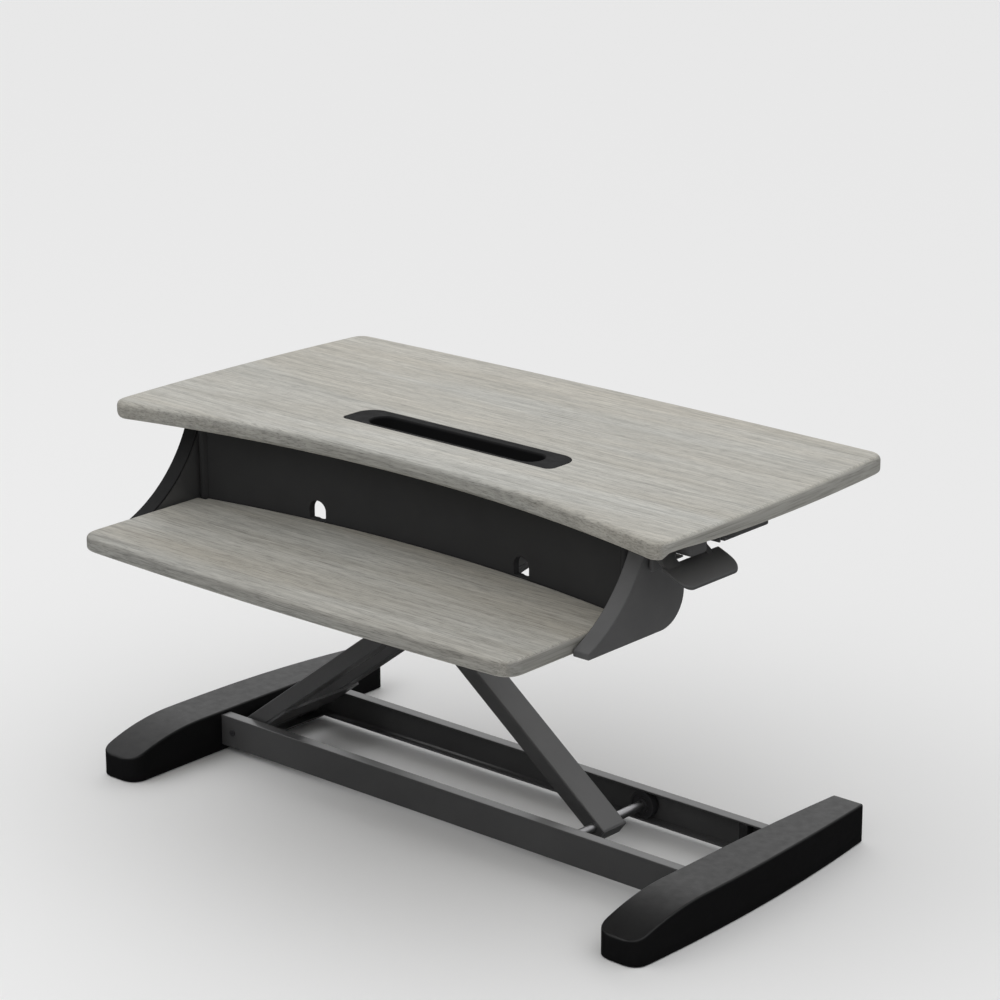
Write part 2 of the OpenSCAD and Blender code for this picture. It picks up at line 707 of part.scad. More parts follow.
module worksurface() color(laminate) difference() {
    slab(mirrored(top_half_outline), top_underside, top_height);
    // pocket for the device slot, in two steps
    slab(insert_outline(0), top_height - 2, top_height + overcut);
    slab(rounded(-slot_half - insert_wall, slot_half + insert_wall, slot_y[0] - insert_wall,
                 slot_y[1] + insert_wall, 19), top_height - insert_floor - insert_wall, top_height + overcut);
    // pilot holes
    front_and_back() for (x = screw_places)
        translate([x, lift_y - rail_half_span + rail_depth / 2 + 1, top_underside - overcut])
            cylinder(r = 2.5, h = 12.5);
    for (x = tie_screw_x, side = [-1, 1])
        translate([x, lift_y + side * tie_screw_y, top_underside - overcut]) cylinder(r = 2.5, h = 12);
    for (place = anchor_screws)
        translate([place[0], lift_y + place[1], top_underside - overcut]) cylinder(r = 2.5, h = 12);
    left_and_right()
        translate([top_flange_screw[0], top_flange_screw[1], top_underside - overcut])
            cylinder(r = 2.5, h = 12);
}

module device_slot_insert() color(black_plastic) difference() {
    union() {
        slab(insert_outline(0.2), top_height - 2, top_height);
        slab(rounded(-slot_half - insert_wall, slot_half + insert_wall, slot_y[0] - insert_wall,
                     slot_y[1] + insert_wall, 19), top_height - insert_floor - insert_wall, top_height - overcut);
    }
    slab(rounded(-slot_half, slot_half, slot_y[0], slot_y[1], 17), top_height - insert_floor,
         top_height + overcut);
}

// ---------- keyboard tray ----------

module keyboard_tray() color(laminate) difference() {
    slab(mirrored(tray_half_outline), tray_height - tray_thickness, tray_height);
    left_and_right() for (y = flange_screw_y)
        translate([tray_flange_x + 15, y, arm_bottom - overcut]) cylinder(r = 2.5, h = 12.5);
}

// Side arm outline, Y across and Z up: a hollow arc in front and a round heel behind
arm_foot = [-188, tray_height - 12];
arm_head = [-84.5, top_underside];
arm_hollow = 16;
arm_bottom = tray_height - tray_thickness;
heel = [-59, arm_bottom + 41];
heel_r = 41;
heel_top = [-20, arm_bottom + 46];
neck = [-69, top_height - 51];
neck_top = [-62, top_underside];

function hollow_radius() =
    let (c = norm(arm_head - arm_foot)) (c * c / 4 + arm_hollow * arm_hollow) / (2 * arm_hollow);
function hollow_centre() = let (
        d = (arm_head - arm_foot) / norm(arm_head - arm_foot),
        middle = (arm_head + arm_foot) / 2)
    middle + (hollow_radius() - arm_hollow) * [-d[1], d[0]];

// Corner c between points p and q, moved in by inset from both of its sides
function inset_corner(p, c, q, inset) = let (
        a = (c - p) / norm(c - p),
        b = (q - c) / norm(q - c),
        m = [-a[1], a[0]],
        n = [-b[1], b[0]])
    c + inset * (m + n) / (1 + m * n);

module side_outline(inset) difference() {
    polygon(concat(
        [[arm_foot[0] + inset, arm_bottom + inset], [heel[0], arm_bottom + inset]],
        arc(heel, heel_r - inset, -90, 0, 14),
        [inset_corner(heel + [heel_r, 0], heel_top, neck, inset),
         inset_corner(heel_top, neck, neck_top, inset),
         inset_corner(neck, neck_top, arm_head - [40, 0], inset), [arm_head[0] - 40, arm_head[1] - inset],
         [arm_foot[0] + inset, arm_foot[1]]]));
    translate(hollow_centre()) circle(r = hollow_radius() + inset, $fn = 180);
}

cover_x = [347.5, 370.5];
cover_wall = 2.5;
arm_plate_x = [348.5, 351.5];
arm_thickness = 3;
tray_flange_x = 300;
tray_flange_y = [-165, -85];
top_flange_x = 318;
top_flange_y = [-73, -53];
top_flange_screw = [top_flange_x + 12, -62.5];
flange_screw_y = [-150, -100];

// Where a flange of the steel arm passes the shell's edge
module flange_notch(y, z)
    box(cover_x[0] - overcut, arm_plate_x[1] + 0.5, y[0] - 0.5, y[1] + 0.5, z - 4.5, z + 4.5);

// Moulded shell, open towards the steel arm inside it
module tray_cover() color(black_plastic) difference() {
    rotate([90, 0, 90]) difference() {
        translate([0, 0, cover_x[0]]) linear_extrude(cover_x[1] - cover_x[0]) side_outline(0);
        translate([0, 0, cover_x[0] - overcut])
            linear_extrude(cover_x[1] - cover_x[0] - cover_wall + overcut) side_outline(cover_wall);
    }
    flange_notch(tray_flange_y, arm_bottom);
    flange_notch(top_flange_y, top_underside);
}
module tray_cover_left() mirror([1, 0, 0]) tray_cover();
module tray_cover_right() tray_cover();

// Steel arm: an upright plate with a flange under the tray and one under the worksurface
module tray_arm() color(black_steel) {
    rotate([90, 0, 90]) translate([0, 0, arm_plate_x[0]])
        linear_extrude(arm_thickness) side_outline(cover_wall + 0.5);
    difference() {
        union() {
            box(tray_flange_x, arm_plate_x[1], tray_flange_y[0], tray_flange_y[1],
                arm_bottom - arm_thickness, arm_bottom);
            box(arm_plate_x[0], arm_plate_x[1], tray_flange_y[0], tray_flange_y[1],
                arm_bottom - arm_thickness, arm_bottom + 4);
            box(top_flange_x, arm_plate_x[1], top_flange_y[0], top_flange_y[1],
                top_underside - arm_thickness, top_underside);
            box(arm_plate_x[0], arm_plate_x[1], top_flange_y[0], top_flange_y[1],
                top_underside - 4, top_underside);
        }
        for (y = flange_screw_y)
            translate([tray_flange_x + 15, y, arm_bottom - arm_thickness - overcut])
                cylinder(r = 2.5, h = arm_thickness + 2 * overcut);
        translate([top_flange_screw[0], top_flange_screw[1], top_underside - 10])
            cylinder(r = 2.5, h = 20);
    }
}
module tray_arm_left() mirror([1, 0, 0]) tray_arm();
module tray_arm_right() tray_arm();

module tray_screws() color(zinc) left_and_right() {
    for (y = flange_screw_y) up_screw(tray_flange_x + 15, y, arm_bottom - arm_thickness);
    up_screw(top_flange_screw[0], top_flange_screw[1], top_underside - arm_thickness);
}

slot_x = 165;
slot_half_width = 12.5;
slot_height = 24;
// Arched cable slot through the panel, standing on the tray
module cable_slot(x) translate([x, panel_front_y - 40, tray_height]) rotate([-90, 0, 0])
    linear_extrude(80) union() {
        translate([-slot_half_width, -slot_height + slot_half_width])
            square([2 * slot_half_width, slot_height - slot_half_width]);
        translate([0, -slot_height + slot_half_width]) circle(r = slot_half_width);
    }

module back_panel() color(black_plastic) difference() {
    slab(concat(panel_arc(panel_half, 0), panel_arc(-panel_half, panel_thickness)),
         arm_bottom, top_underside);
    for (x = [-slot_x, slot_x]) cable_slot(x);
}

// Rounded posts that close the panel's ends against the side arms
module panel_posts() color(black_plastic) left_and_right()
    slab(concat([[panel_half, panel_y(panel_half) + panel_thickness], [panel_half, panel_y(panel_half)]],
                arc([tray_half_width - post_r, panel_y(panel_half) + 1], post_r, 200, 360),
                [[tray_half_width, panel_y(panel_half) + panel_thickness]]),
         arm_bottom, top_underside);

cleat_x = 150;
cleat_half = 20;
module panel_cleats() color(black_steel) left_and_right() {
    back = panel_y(cleat_x - cleat_half) + panel_thickness;
    box(cleat_x - cleat_half, cleat_x + cleat_half, back, back + 2, top_underside - 22, top_underside);
    box(cleat_x - cleat_half, cleat_x + cleat_half, back + 2, back + 14, top_underside - 2, top_underside);
}

// ---------- release lever ----------

housing_x = [373, 411];
housing_y = [-64, -25];
housing_bottom = 448;
housing_corner = 9;
cheek_x = [373, 379];
cheek_y = [-87, -50];
cheek_bottom = 431;
module lever_housing() color(black_plastic) difference() {
    union() {
        intersection() {
            slab(rounded(housing_x[0], housing_x[1], housing_y[0], housing_y[1], housing_corner),
                 housing_bottom, top_underside);
            rotate([90, 0, 90]) slab(rounded(housing_y[0], housing_y[1], housing_bottom,
                top_underside + 2 * housing_corner, housing_corner), housing_x[0], housing_x[1]);
        }
        // cheek that closes the gap beside the tray's cover
        box(cheek_x[0], cheek_x[1], cheek_y[0], cheek_y[1], cheek_bottom, top_underside);
    }
    rod_y(lever_shaft_r + running_gap, housing_y[0] - overcut, housing_y[1] + overcut, lever_x, lever_z);
}

paddle_x = [398, 434];
paddle_y = [-96, 7];
paddle_drop = 0.5;          // fall per unit of width
paddle_thickness = 4;
paddle_inner_z = 443;
paddle_bulge = 1.5;
paddle_corner = 15;
lever_arm_y = [[-92, -67], [-20, -8]];
finger_x = 362;

function paddle_z(x) = paddle_inner_z - paddle_drop * (x - paddle_x[0])
    + paddle_bulge * sin(180 * (x - paddle_x[0]) / (paddle_x[1] - paddle_x[0]));

// Curved paddle in section, X across and Z up
paddle_section = concat(
    [for (i = [0:edge_steps]) let (x = paddle_x[0] + (paddle_x[1] - paddle_x[0]) * i / edge_steps)
        [x, paddle_z(x)]],
    [for (i = [edge_steps:-1:0]) let (x = paddle_x[0] + (paddle_x[1] - paddle_x[0]) * i / edge_steps)
        [x, paddle_z(x) - paddle_thickness]]);

module lever_side(y0, y1)
    translate([0, y1, 0]) rotate([90, 0, 0]) linear_extrude(y1 - y0) children();

module release_lever() color(black_plastic) {
    intersection() {
        lever_side(paddle_y[0], paddle_y[1]) polygon(paddle_section);
        slab(rounded(paddle_x[0] - 20, paddle_x[1], paddle_y[0], paddle_y[1], paddle_corner),
             400, 460);
    }
    for (y = lever_arm_y)
        lever_side(y[0], y[1])
            polygon([[lever_x - 4, lever_z - 2], [lever_x + 2, lever_z - 7],
                     [paddle_x[0] + 1, paddle_inner_z - 4], [paddle_x[0] + 8, paddle_inner_z - 7],
                     [paddle_x[0] + 6, paddle_inner_z - 2], [paddle_x[0] - 3, paddle_inner_z + 5],
                     [lever_x + 4, lever_z + 1]]);
    rod_y(lever_shaft_r, lever_arm_y[0][0], lift_y + 22, lever_x, lever_z);
    // finger over the release button
    box(finger_x, lever_x, lift_y - 6, lift_y + 6, lever_z + 0.5, lever_z + 3.5);
}

// Torsion spring on the lever's shaft, drawn as its turns side by side
spring_wire_r = 0.9;
spring_turn_r = 6.4;
spring_turns = 9;
spring_start_y = 11;
module lever_return_spring() color(zinc)
    for (i = [0:spring_turns - 1])
        translate([lever_x, spring_start_y + i * 2 * spring_wire_r * 1.02, lever_z]) rotate([90, 0, 0])
            rotate_extrude($fn = 32) translate([spring_turn_r, 0]) circle(r = spring_wire_r, $fn = 16);

// ---------- assembly ----------

foot_cover_left();
foot_cover_right();
foot_frame_left();
foot_frame_right();
foot_pads();
foot_cover_screws();
base_rail_front();
base_rail_back();
base_ties();
base_rail_bolts();
base_roller_stops();
base_pivot_shaft();
base_pivot_bolts();
outer_leg_front();
outer_leg_back();
outer_leg_ties();
outer_leg_caps();
outer_leg_bushes();
middle_leg();
middle_leg_caps();
middle_leg_bush();
centre_pivot_shaft();
centre_pivot_spacers();
lower_roller_shaft();
lower_roller_front();
lower_roller_back();
slide_carriage();
carriage_axle_front();
carriage_axle_back();
upper_roller_front();
upper_roller_back();
gas_spring_cylinder();
gas_spring_cross_pin();
worksurface();
device_slot_insert();
top_rail_front();
top_rail_back();
top_tie_left();
spring_anchor_plate();
top_roller_stops();
top_pivot_shaft();
top_pivot_bolts();
worksurface_screws();
gas_spring_rod();
release_head();
release_head_pin();
release_button();
keyboard_tray();
tray_cover_left();
tray_cover_right();
tray_arm_left();
tray_arm_right();
tray_screws();
back_panel();
panel_posts();
panel_cleats();
lever_housing();
release_lever();
lever_return_spring();
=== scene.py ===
"""Standing desk converter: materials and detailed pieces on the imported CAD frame."""
import json
import math

import bmesh
import bpy
import numpy as np
from mathutils import Matrix, Vector

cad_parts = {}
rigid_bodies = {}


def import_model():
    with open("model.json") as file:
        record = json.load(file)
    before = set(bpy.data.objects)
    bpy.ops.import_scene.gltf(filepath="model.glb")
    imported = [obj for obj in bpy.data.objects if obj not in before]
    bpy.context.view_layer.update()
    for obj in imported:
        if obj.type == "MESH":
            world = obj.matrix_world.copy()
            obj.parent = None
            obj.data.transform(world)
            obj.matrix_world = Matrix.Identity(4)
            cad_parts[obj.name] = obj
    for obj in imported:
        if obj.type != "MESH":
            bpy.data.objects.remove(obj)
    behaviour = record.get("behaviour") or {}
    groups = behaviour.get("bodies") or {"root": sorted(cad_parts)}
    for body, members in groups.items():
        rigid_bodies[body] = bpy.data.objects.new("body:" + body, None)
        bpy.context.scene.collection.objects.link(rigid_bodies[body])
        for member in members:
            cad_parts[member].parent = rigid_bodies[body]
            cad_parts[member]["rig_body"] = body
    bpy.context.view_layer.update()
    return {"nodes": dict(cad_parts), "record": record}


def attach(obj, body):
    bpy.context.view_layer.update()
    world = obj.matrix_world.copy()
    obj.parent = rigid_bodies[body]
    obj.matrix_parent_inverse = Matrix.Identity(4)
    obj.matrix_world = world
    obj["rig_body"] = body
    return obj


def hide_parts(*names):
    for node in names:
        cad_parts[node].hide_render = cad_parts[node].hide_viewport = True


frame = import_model()
nodes = frame["nodes"]
MM = 0.001


# ---------- node materials ----------

class Shader:
    """A Principled material whose patterns lie in object space, in metres."""

    def __init__(self, name, colour, roughness, metallic=0.0, specular=0.5, coat=0.0,
                 coat_roughness=0.1):
        self.material = bpy.data.materials.new(name)
        self.material.use_nodes = True
        self.tree = self.material.node_tree
        self.bsdf = self.tree.nodes["Principled BSDF"]
        self.set("Base Color", (*colour, 1))
        self.set("Roughness", roughness)
        self.set("Metallic", metallic)
        self.set("Specular IOR Level", specular)
        self.set("Coat Weight", coat)
        self.set("Coat Roughness", coat_roughness)
        self.material.diffuse_color = (*colour, 1)
        self.place = self.node("ShaderNodeTexCoord").outputs["Object"]

    def set(self, socket, value):
        self.bsdf.inputs[socket].default_value = value

    def node(self, kind, **values):
        n = self.tree.nodes.new(kind)
        for key, value in values.items():
            setattr(n, key, value)
        return n

    def join(self, a, b):
        self.tree.links.new(a, b)

    def stretched(self, scale, offset=(0, 0, 0)):
        n = self.node("ShaderNodeMapping")
        n.inputs["Scale"].default_value = scale
        n.inputs["Location"].default_value = offset
        self.join(self.place, n.inputs["Vector"])
        return n.outputs["Vector"]

    def noise(self, scale, detail=4.0, rough=0.55, vector=None, distortion=0.0):
        n = self.node("ShaderNodeTexNoise")
        n.inputs["Scale"].default_value = scale
        n.inputs["Detail"].default_value = detail
        n.inputs["Roughness"].default_value = rough
        n.inputs["Distortion"].default_value = distortion
        self.join(vector or self.place, n.inputs["Vector"])
        return n.outputs["Fac"]

    def ramp(self, value, stops):
        """stops are (position, colour), where a colour is three numbers, or one for a grey."""
        n = self.node("ShaderNodeValToRGB")
        elements = n.color_ramp.elements
        while len(elements) < len(stops):
            elements.new(0.5)
        for e, (position, colour) in zip(elements, stops):
            e.position = position
            e.color = (*colour, 1) if len(colour) == 3 else (colour[0],) * 3 + (1,)
        self.join(value, n.inputs["Fac"])
        return n.outputs["Color"]

    def mix(self, a, b, factor, blend="MIX"):
        """Colours a and b mixed; each value is a socket or a constant."""
        n = self.node("ShaderNodeMix", data_type="RGBA", blend_type=blend)
        factor_in, a_in, b_in = (n.inputs[i] for i in (0, 6, 7))
        for socket, value in ((a_in, a), (b_in, b), (factor_in, factor)):
            if isinstance(value, bpy.types.NodeSocket):
                self.join(value, socket)
            else:
                socket.default_value = value
        return n.outputs[2]

    def times(self, colour, grey, strength=1.0):
        return self.mix(colour, grey, strength, "MULTIPLY")

    def size_of(self, socket):
        n = self.node("ShaderNodeMath", operation="ABSOLUTE")
        self.join(socket, n.inputs[0])
        return n.outputs["Value"]

    def span(self, value, low, high, start=0.3, end=0.7):
        """value from start to end, spread over low to high."""
        n = self.node("ShaderNodeMapRange")
        for key, number in (("From Min", start), ("From Max", end), ("To Min", low),
                            ("To Max", high)):
            n.inputs[key].default_value = number
        self.join(value, n.inputs["Value"])
        return n.outputs["Result"]

    def bump(self, *layers):
        """layers are (height, strength, distance), coarse first."""
        normal = None
        for height, strength, distance in layers:
            n = self.node("ShaderNodeBump")
            n.inputs["Strength"].default_value = strength
            n.inputs["Distance"].default_value = distance
            self.join(height, n.inputs["Height"])
            if normal:
                self.join(normal, n.inputs["Normal"])
            normal = n.outputs["Normal"]
        self.join(normal, self.bsdf.inputs["Normal"])

    def colour(self, socket):
        self.join(socket, self.bsdf.inputs["Base Color"])

    def roughness(self, socket):
        self.join(socket, self.bsdf.inputs["Roughness"])


def shade(colour, factor):
    return tuple(c * factor for c in colour)


def woodgrain(s, light, between, dark, shift):
    """The face's colour: broad tones, warm patches, a slow figure, then fine lines and pores."""
    broad = s.noise(1.0, 5.0, 0.6, s.stretched((1.5, 26, 26), shift), 0.8)
    drift = s.noise(1.0, 3.0, 0.5, s.stretched((0.9, 6.0, 6.0), shift), 1.2)
    streaks = s.noise(1.0, 7.0, 0.75, s.stretched((4.5, 260, 260), shift), 0.3)
    fibre = s.noise(1.0, 6.0, 0.70, s.stretched((16, 520, 520), shift))
    pores = s.noise(1.0, 3.0, 0.6, s.stretched((60, 1000, 1000), shift))
    wave = s.node("ShaderNodeTexWave", wave_type="BANDS", bands_direction="Y")
    for key, number in (("Scale", 11.0), ("Distortion", 12.0), ("Detail", 5.0),
                        ("Detail Scale", 1.2), ("Detail Roughness", 0.65)):
        wave.inputs[key].default_value = number
    s.join(s.stretched((0.35, 1.6, 1.6), shift), wave.inputs["Vector"])

    tone = s.ramp(broad, ((0.34, dark), (0.50, between), (0.66, light)))
    warmer = (light[0] * 0.93, light[1] * 0.87, light[2] * 0.79, 1)
    face = s.mix(tone, warmer, s.span(drift, 0.0, 0.6, 0.40, 0.66))
    face = s.times(face, s.ramp(wave.outputs["Fac"], ((0.0, (0.90,)), (0.35, (0.99,)),
                                                      (1.0, (1.03,)))), 0.8)
    face = s.times(face, s.ramp(streaks, ((0.34, (0.72,)), (0.45, (0.93,)), (0.56, (1.02,)),
                                          (0.72, (1.07,)))), 0.9)
    face = s.times(face, s.ramp(fibre, ((0.34, (0.66,)), (0.50, (0.98,)), (0.70, (1.16,)))), 0.95)
    face = s.times(face, s.ramp(pores, ((0.36, (0.60,)), (0.44, (0.98,)), (0.60, (1.05,)))), 0.8)
    s.roughness(s.span(fibre, 0.46, 0.58))
    s.bump((streaks, 0.06, 0.0003), (fibre, 0.08, 0.0003), (pores, 0.08, 0.0003))
    return face


def edge_band_with_painted_shade(s, face, light, between, dark, shift):
    """The face's colour carried over the edges: darker end grain on the ends, where the grain runs
    along, and painted shade that darkens the sides as they turn from up.
    """
    facing = s.node("ShaderNodeSeparateXYZ")
    s.join(s.node("ShaderNodeTexCoord").outputs["Normal"], facing.inputs[0])
    grain = s.noise(1.0, 6.0, 0.7, s.stretched((300, 7, 420), shift))
    end_grain = s.ramp(grain, ((0.34, shade(dark, 0.66)), (0.50, shade(between, 0.86)),
                               (0.70, shade(light, 0.92))))
    at_ends = s.span(s.size_of(facing.outputs["X"]), 0.0, 1.0, 0.55, 0.80)
    banded = s.mix(face, end_grain, at_ends)
    # painted shade: faces darken as they turn from up, so the sides look less lit than the top
    return s.times(banded, s.ramp(s.size_of(facing.outputs["Z"]), ((0.30, (0.74,)), (0.85, (1.0,)))))


def laminate(name, light, dark, shift):
    """Grey-beige woodgrain laminate, its grain along X, with darker end grain on its edge band and
    painted shade on its sides.
    """
    s = Shader(name, light, 0.5, specular=0.3)
    between = tuple((a + b) / 2 for a, b in zip(light, dark))
    face = woodgrain(s, light, between, dark, shift)
    s.colour(edge_band_with_painted_shade(s, face, light, between, dark, shift))
    return s.material


def powder_coat(name, colour, roughness, specular, coat=0.0):
    """Satin black paint with a fine orange peel and cloudy wear."""
    s = Shader(name, colour, roughness, specular=specular, coat=coat, coat_roughness=0.35)
    peel = s.noise(950, 2.0, 0.5)
    cloud = s.noise(9, 4.0, 0.6)
    s.colour(s.ramp(cloud, ((0.3, shade(colour, 0.88)), (0.7, shade(colour, 1.12)))))
    s.roughness(s.span(s.noise(28, 4.0, 0.5), roughness - 0.02, roughness + 0.03))
    s.bump((peel, 0.14, 0.0002))
    return s.material


def moulded(name, colour, roughness, grain=1400, strength=0.3, specular=0.4):
    """Moulded plastic with a spark-eroded grain."""
    s = Shader(name, colour, roughness, specular=specular)
    cells = s.node("ShaderNodeTexVoronoi", feature="SMOOTH_F1")
    cells.inputs["Scale"].default_value = grain
    s.join(s.place, cells.inputs["Vector"])
    cloud = s.noise(14, 4.0, 0.55)
    s.colour(s.ramp(cloud, ((0.3, shade(colour, 0.92)), (0.7, shade(colour, 1.08)))))
    s.roughness(s.span(s.noise(90, 4.0, 0.6), roughness - 0.05, roughness + 0.05))
    s.bump((s.noise(320, 3.0, 0.5), 0.10, 0.0003), (cells.outputs["Distance"], strength, 0.00015))
    return s.material


def steel(name, colour, roughness):
    """Zinc-plated steel with fine tool marks."""
    s = Shader(name, colour, roughness, metallic=1.0)
    marks = s.noise(1.0, 4.0, 0.6, s.stretched((900, 900, 900)))
    cloud = s.noise(45, 4.0, 0.6)
    s.colour(s.ramp(cloud, ((0.3, shade(colour, 0.85)), (0.7, shade(colour, 1.05)))))
    s.roughness(s.span(cloud, roughness - 0.06, roughness + 0.10))
    s.bump((marks, 0.10, 0.0002))
    return s.material


def rubber(name, colour):
    """Matt rubber with a little dust."""
    s = Shader(name, colour, 0.8, specular=0.3)
    dust = s.noise(160, 6.0, 0.65)
    s.colour(s.ramp(dust, ((0.4, colour), (0.72, shade(colour, 1.9)))))
    s.roughness(s.span(dust, 0.72, 0.9))
    s.bump((s.noise(700, 3.0, 0.6), 0.25, 0.0003))
    return s.material


GREIGE = (0.555, 0.550, 0.513)
GREIGE_DARK = (0.430, 0.420, 0.380)
# This factor darkens the tray's copy of the worksurface laminate: painted shade for the shadow that
# the worksurface casts on the tray.
TRAY_PAINTED_SHADE = 0.84
MATERIALS = {
    "laminate_top": laminate("woodgrain_worksurface", GREIGE, GREIGE_DARK, (0.0, 0.0, 0.0)),
    # the tray's laminate, darkened by the factor above as painted shade
    "laminate_tray": laminate("woodgrain_tray_painted_shade", shade(GREIGE, TRAY_PAINTED_SHADE),
                              shade(GREIGE_DARK, TRAY_PAINTED_SHADE), (3.1, 1.7, 0.4)),
    "powder_coat": powder_coat("black_powder_coat", (0.080, 0.080, 0.081), 0.30, 0.75),
    "moulded_black": moulded("moulded_black_plastic", (0.098, 0.098, 0.099), 0.50, specular=0.3),
    # a darker copy of moulded_black: painted shade for the left tray cover's inner face, which lies
    # in shadow in the keyboard space
    "cover_black_painted_shade": moulded("inner_cover_plastic_painted_shade", (0.014, 0.014, 0.0145), 0.55, specular=0.12),
    "foot_black": moulded("foot_plastic", (0.006, 0.006, 0.0065), 0.42, 1100, 0.15, 0.36),
    "bezel_black": moulded("bezel_plastic", (0.010, 0.010, 0.0105), 0.65, 1900, 0.2, 0.08),
    "panel_black": powder_coat("panel_paint", (0.034, 0.034, 0.035), 0.60, 0.25),
    "rubber": rubber("matt_rubber", (0.022, 0.022, 0.023)),
    "zinc_steel": steel("zinc_plated_steel", (0.42, 0.42, 0.43), 0.38),
    "black_screws": powder_coat("black_oxide", (0.04, 0.04, 0.042), 0.35, 0.6),
    "nylon": moulded("dark_nylon", (0.040, 0.040, 0.042), 0.42, 900, 0.15, 0.4),
    "gas_tube": powder_coat("gloss_black_tube", (0.014, 0.014, 0.015), 0.18, 0.6, 0.4),
    "lever_black": moulded("lever_plastic", (0.075, 0.075, 0.076), 0.38, 1700, 0.2, 0.45),
}
SLOT_OF = {part["node"]: part["material_slot"] for part in frame["record"]["subparts"]}


def paint(obj, finish):
    """Gives obj one of the finishes above, whatever its slot is."""
    obj.data.materials.clear()
    obj.data.materials.append(MATERIALS[finish])


# ---------- mesh helpers ----------

def new_piece(name, bm, body, slot, *stands_for):
    """An object made from bm, which rides on body and is shown instead of CAD nodes."""
    bmesh.ops.recalc_face_normals(bm, faces=bm.faces)
    mesh = bpy.data.meshes.new(name)
    bm.to_mesh(mesh)
    bm.free()
    mesh.shade_smooth()
    obj = bpy.data.objects.new(name, mesh)
    bpy.context.scene.collection.objects.link(obj)
    paint(obj, slot)
    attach(obj, body)
    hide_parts(*stands_for)
    return obj


def even_shading(obj, sharp_angle=40):
    """Flat faces stay flat beside their rounded edges."""
    obj.data.set_sharp_from_angle(angle=math.radians(sharp_angle))
    weighted = obj.modifiers.new("weighted", "WEIGHTED_NORMAL")
    weighted.mode = "FACE_AREA"
    weighted.keep_sharp = True
    return obj


MERGE_M = 1e-6          # vertices nearer than this are one
CORNER_ANGLE = math.radians(35)


def rounded_copy(node, width, min_length):
    """A copy of a CAD node whose sharp outer edges, at least min_length long, are rounded."""
    bm = bmesh.new()
    bm.from_mesh(nodes[node].data)
    bmesh.ops.remove_doubles(bm, verts=bm.verts, dist=MERGE_M)
    bmesh.ops.dissolve_limit(bm, angle_limit=math.radians(0.4), verts=bm.verts, edges=bm.edges)
    edges = [e for e in bm.edges if e.is_manifold and e.is_convex
             and e.calc_face_angle(0) > CORNER_ANGLE and e.calc_length() >= min_length]
    bmesh.ops.bevel(bm, geom=edges, offset=width, segments=3, profile=0.5, affect="EDGES",
                    clamp_overlap=False, miter_outer="ARC", miter_inner="SHARP")
    bmesh.ops.remove_doubles(bm, verts=bm.verts, dist=MERGE_M)
    return even_shading(new_piece(node + "_part", bm, nodes[node]["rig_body"], SLOT_OF[node], node))


def bow(t, half, sag):
    """Drop, t from its middle, of an arc that falls by sag at half its length."""
    r = (half * half + sag * sag) / (2 * sag)
    return r - math.sqrt(r * r - t * t)


def bezier(p, c, q, n):
    """Points of a quadratic curve from p to q that leans towards c."""
    t = np.linspace(0, 1, n + 1)[:, None]
    p, c, q = (np.array(v, float) for v in (p, c, q))
    return list((1 - t) ** 2 * p + 2 * t * (1 - t) * c + t ** 2 * q)


def arc(c, r, a, b, n):
    """Points of an arc round c, from a to b degrees."""
    t = np.radians(np.linspace(a, b, n + 1))
    return [np.array([c[0] + r * math.cos(v), c[1] + r * math.sin(v)]) for v in t]


def spread(function, start, end, n):
    """Points of a curve, without its last one."""
    return [np.array(function(v)) for v in np.linspace(start, end, n + 1)[:-1]]


def mirrored(half):
    """A closed outline, anticlockwise, from its right half."""
    tail = [np.array([-p[0], p[1]]) for p in reversed(half)]
    points = list(half) + tail
    kept = [points[0]]
    for p in points[1:]:
        if np.linalg.norm(p - kept[-1]) > 1e-3:
            kept.append(p)
    if np.linalg.norm(kept[0] - kept[-1]) < 1e-3:
        kept.pop()
    return np.array(kept)


def inset(points, distance):
    """The anticlockwise outline moved inwards, by its corners' bisectors."""
    before, after = points - np.roll(points, 1, 0), np.roll(points, -1, 0) - points
    normals = []
    for v in (before, after):
        v = v / np.linalg.norm(v, axis=1)[:, None]
        normals.append(np.stack([-v[:, 1], v[:, 0]], 1))
    total = normals[0] + normals[1]
    scale = 2 / np.maximum((total ** 2).sum(1), 0.6)
    return points + total * (scale * distance)[:, None]


def ring(bm, points, z):
    """Vertices over the outline's points at height z, which may differ from point to point."""
    heights = np.broadcast_to(z, len(points))
    return [bm.verts.new((p[0] * MM, p[1] * MM, h * MM)) for p, h in zip(points, heights)]


def skin(bm, a, b, closed=True):
    """Faces between two rows of vertices."""
    for i in range(len(a) if closed else len(a) - 1):
        j = (i + 1) % len(a)
        bm.faces.new((a[i], a[j], b[j], b[i]))


UNDERCUT_START_Y, UNDERCUT_LENGTH = 250, 350


